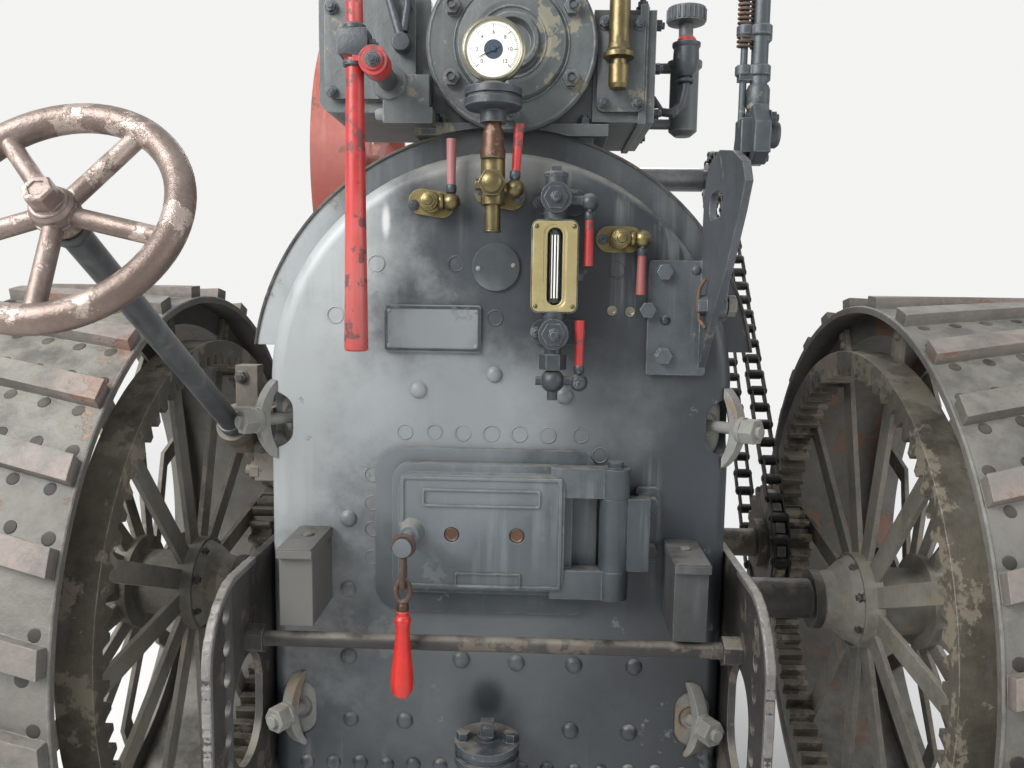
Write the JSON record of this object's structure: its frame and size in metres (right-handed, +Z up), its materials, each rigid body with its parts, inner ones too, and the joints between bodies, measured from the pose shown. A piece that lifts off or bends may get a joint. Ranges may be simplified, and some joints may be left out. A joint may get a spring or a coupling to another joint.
{
  "type": "steam traction engine",
  "caption": "Chain-driven steam traction engine with an arched firebox, cylinder over the firebox, internal ring gears in the rear wheels and a hinged fire door.",
  "frame": {"origin": "on the ground, in the middle of the engine's overall length and width", "axes": "+X to the right seen from the footplate, +Y forwards along the boiler to the smokebox, +Z up"},
  "size_m": [2.328, 3.6284, 3.05],
  "materials": {
    "boiler_paint": "worn dark blue-grey paint",
    "lagging_paint": "dull black paint",
    "black_paint": "heat-dulled black paint",
    "frame_steel": "weathered dark steel",
    "door_iron": "cast iron under blue-black paint",
    "fittings_iron": "bare grey-brown cast iron",
    "brass": "dull brass",
    "red_paint": "chipped bright red paint",
    "wheel_red": "faded red paint",
    "glass": "clear gauge glass",
    "gauge_bezel": "tarnished bezel",
    "wheel_steel": "light grey weathered steel",
    "gear_iron": "greasy brown cast iron",
    "bright_steel": "oiled machined steel",
    "wheel_rim_steel": "hand-polished brown steel"
  },
  "bodies": {
    "engine": {"backhead": "boiler_paint", "firebox_wrapper": "boiler_paint", "inner_firebox": "black_paint", "grate": "black_paint", "foundation_ring": "black_paint", "ashpan": "black_paint", "throat_plate": "boiler_paint", "boiler_barrel": "boiler_paint", "crown_lagging": "lagging_paint", "barrel_lagging": "lagging_paint", "smokebox": "black_paint", "smokebox_door": "black_paint", "chimney": "black_paint", "horn_plate_left": "frame_steel", "horn_plate_right": "frame_steel", "tie_rod": "frame_steel", "stub_axles": "frame_steel", "footplate_brackets": "frame_steel", "mouthpiece": "door_iron", "hand_hole_doors": "fittings_iron", "blow_off_flange": "door_iron", "name_plates": "boiler_paint", "water_gauge": "door_iron", "gauge_glass": "glass", "brass_cocks": "brass", "cock_levers": "red_paint", "pressure_gauge": "gauge_bezel", "cylinder_block": "boiler_paint", "cylinder_cover": "boiler_paint", "valve_chests": "boiler_paint", "motion_guides": "bright_steel", "crank_brackets": "lagging_paint", "crankshaft": "bright_steel", "flywheel": "wheel_red", "connecting_rod": "bright_steel", "drive_chain": "gear_iron", "lower_sprocket": "gear_iron", "lever_stand": "frame_steel", "steering_column": "frame_steel", "front_axle": "lagging_paint", "front_wheels": "wheel_red", "steering_chains": "frame_steel"},
    "rear_wheel_left": {"wheel_rim_left": "wheel_steel", "wheel_centre_left": "wheel_steel", "ring_gear_left": "gear_iron"},
    "rear_wheel_right": {"wheel_rim_right": "wheel_steel", "wheel_centre_right": "wheel_steel", "ring_gear_right": "gear_iron"},
    "half_shaft_left": {"pinion_left": "gear_iron"},
    "half_shaft_right": {"pinion_right": "gear_iron"},
    "fire_door": {"fire_door": "door_iron"},
    "door_handle": {"door_handle": "red_paint"},
    "regulator": {"regulator_lever": "red_paint"},
    "reverser": {"reversing_lever": "frame_steel"},
    "steering": {"steering_wheel": "wheel_rim_steel"}
  },
  "joints": [
    {"name": "rear_wheel_left_spin", "type": "hinge", "parent": "engine", "child": "rear_wheel_left", "pos_m": [-0.049, -0.74478, 0.726], "axis": [1, 0, 0], "continuous": true},
    {"name": "rear_wheel_right_spin", "type": "hinge", "parent": "engine", "child": "rear_wheel_right", "pos_m": [-0.049, -0.74478, 0.726], "axis": [1, 0, 0], "continuous": true},
    {"name": "pinion_left_spin", "type": "hinge", "parent": "engine", "child": "half_shaft_left", "pos_m": [-0.049, -0.28978, 0.726], "axis": [1, 0, 0], "continuous": true},
    {"name": "pinion_right_spin", "type": "hinge", "parent": "engine", "child": "half_shaft_right", "pos_m": [-0.049, -0.28978, 0.726], "axis": [1, 0, 0], "continuous": true},
    {"name": "fire_door_swing", "type": "hinge", "parent": "engine", "child": "fire_door", "pos_m": [0.167, -1.22678, 1.015], "axis": [0, 0, 1], "range_deg": [0, 100]},
    {"name": "door_handle_swing", "type": "hinge", "parent": "fire_door", "child": "door_handle", "pos_m": [-0.201, -1.33178, 1.014], "axis": [0, 1, 0], "range_deg": [-20, 20]},
    {"name": "regulator_swing", "type": "hinge", "parent": "engine", "child": "regulator", "pos_m": [-0.255, -1.29178, 1.822], "axis": [0, 1, 0], "range_deg": [-20, 20]},
    {"name": "reverser_swing", "type": "hinge", "parent": "engine", "child": "reverser", "pos_m": [0.338, -1.24578, 1.43], "axis": [1, 0, 0], "range_deg": [-12, 12]},
    {"name": "steering_wheel_spin", "type": "hinge", "parent": "engine", "child": "steering", "pos_m": [-0.557, -1.12578, 1.17], "axis": [0, -0.8508, 0.5255], "continuous": true}
  ],
  "couplings": [
    {"joint": "pinion_left_spin", "follows": "rear_wheel_left_spin", "ratio": 6},
    {"joint": "pinion_right_spin", "follows": "rear_wheel_right_spin", "ratio": 6}
  ]
}
